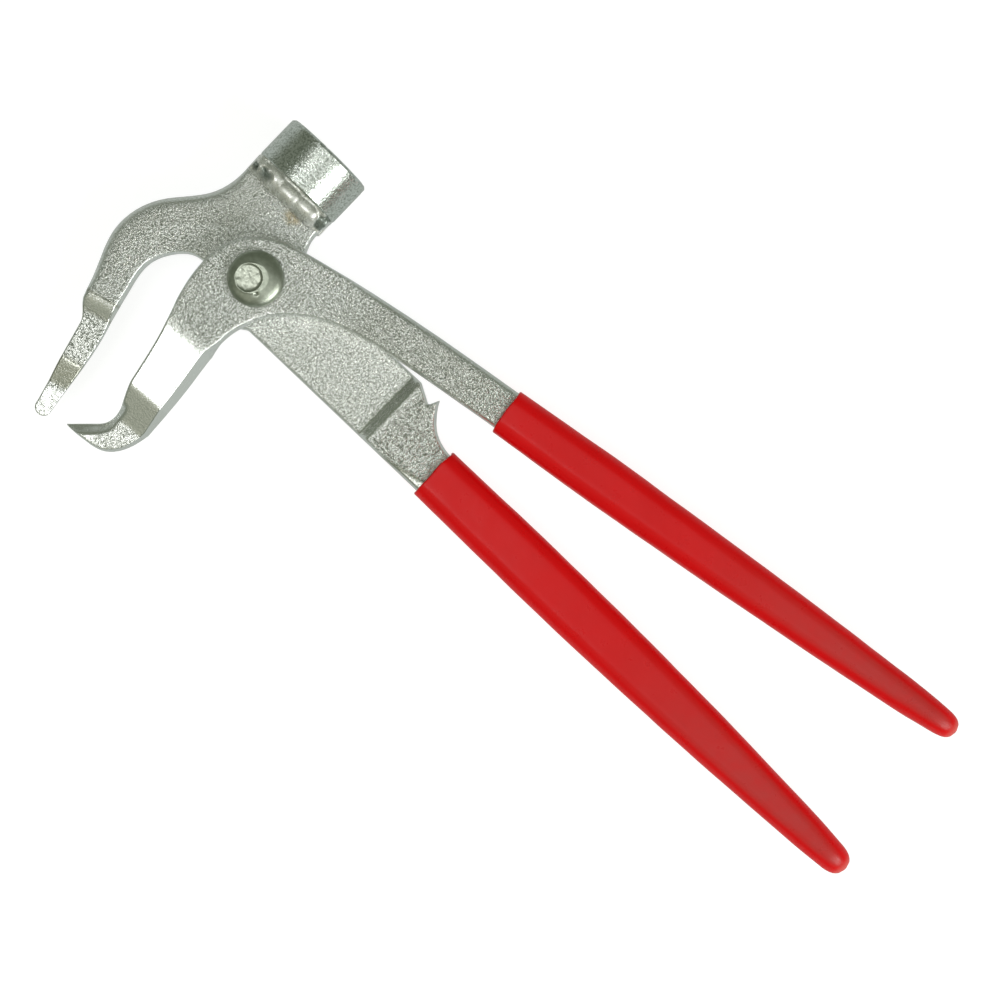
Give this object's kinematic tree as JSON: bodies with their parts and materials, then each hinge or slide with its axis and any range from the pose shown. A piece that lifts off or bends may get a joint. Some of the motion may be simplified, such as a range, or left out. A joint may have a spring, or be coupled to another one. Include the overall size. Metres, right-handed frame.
{
  "type": "wheel weight hammer pliers",
  "caption": "Forged pliers with a hooked jaw and a stepped blade jaw, a welded round hammer head above the pivot and dipped vinyl grips, for fitting and pulling clip-on wheel weights.",
  "frame": {"origin": "bottom centre of the tool's box, with the levers level", "axes": "+X towards the handle ends, +Y towards the hammer's striking face, +Z out of the front face, along the pivot"},
  "size_m": [0.2436, 0.105, 0.025],
  "materials": {
    "forged_steel": "bright zinc plate over blasted forging grain",
    "turned_steel": "bright zinc plate over turned bar",
    "weld_metal": "zinc plated weld ripples",
    "rivet_steel": "smooth plated rivet",
    "grip_vinyl": "dipped red vinyl, soft gloss"
  },
  "bodies": {
    "rear": {"rear_lever": "forged_steel", "hammer_head": "turned_steel", "weld_bead_front": "weld_metal", "weld_bead_rear": "weld_metal", "pivot_rivet": "rivet_steel", "rear_grip": "grip_vinyl"},
    "front": {"front_lever": "forged_steel", "front_grip": "grip_vinyl"}
  },
  "joints": [
    {"name": "pivot", "type": "hinge", "parent": "rear", "child": "front", "pos_m": [-0.08595, 0.01015, 0.0155], "axis": [0, 0, 1], "range_deg": [-0.6, 28]}
  ]
}
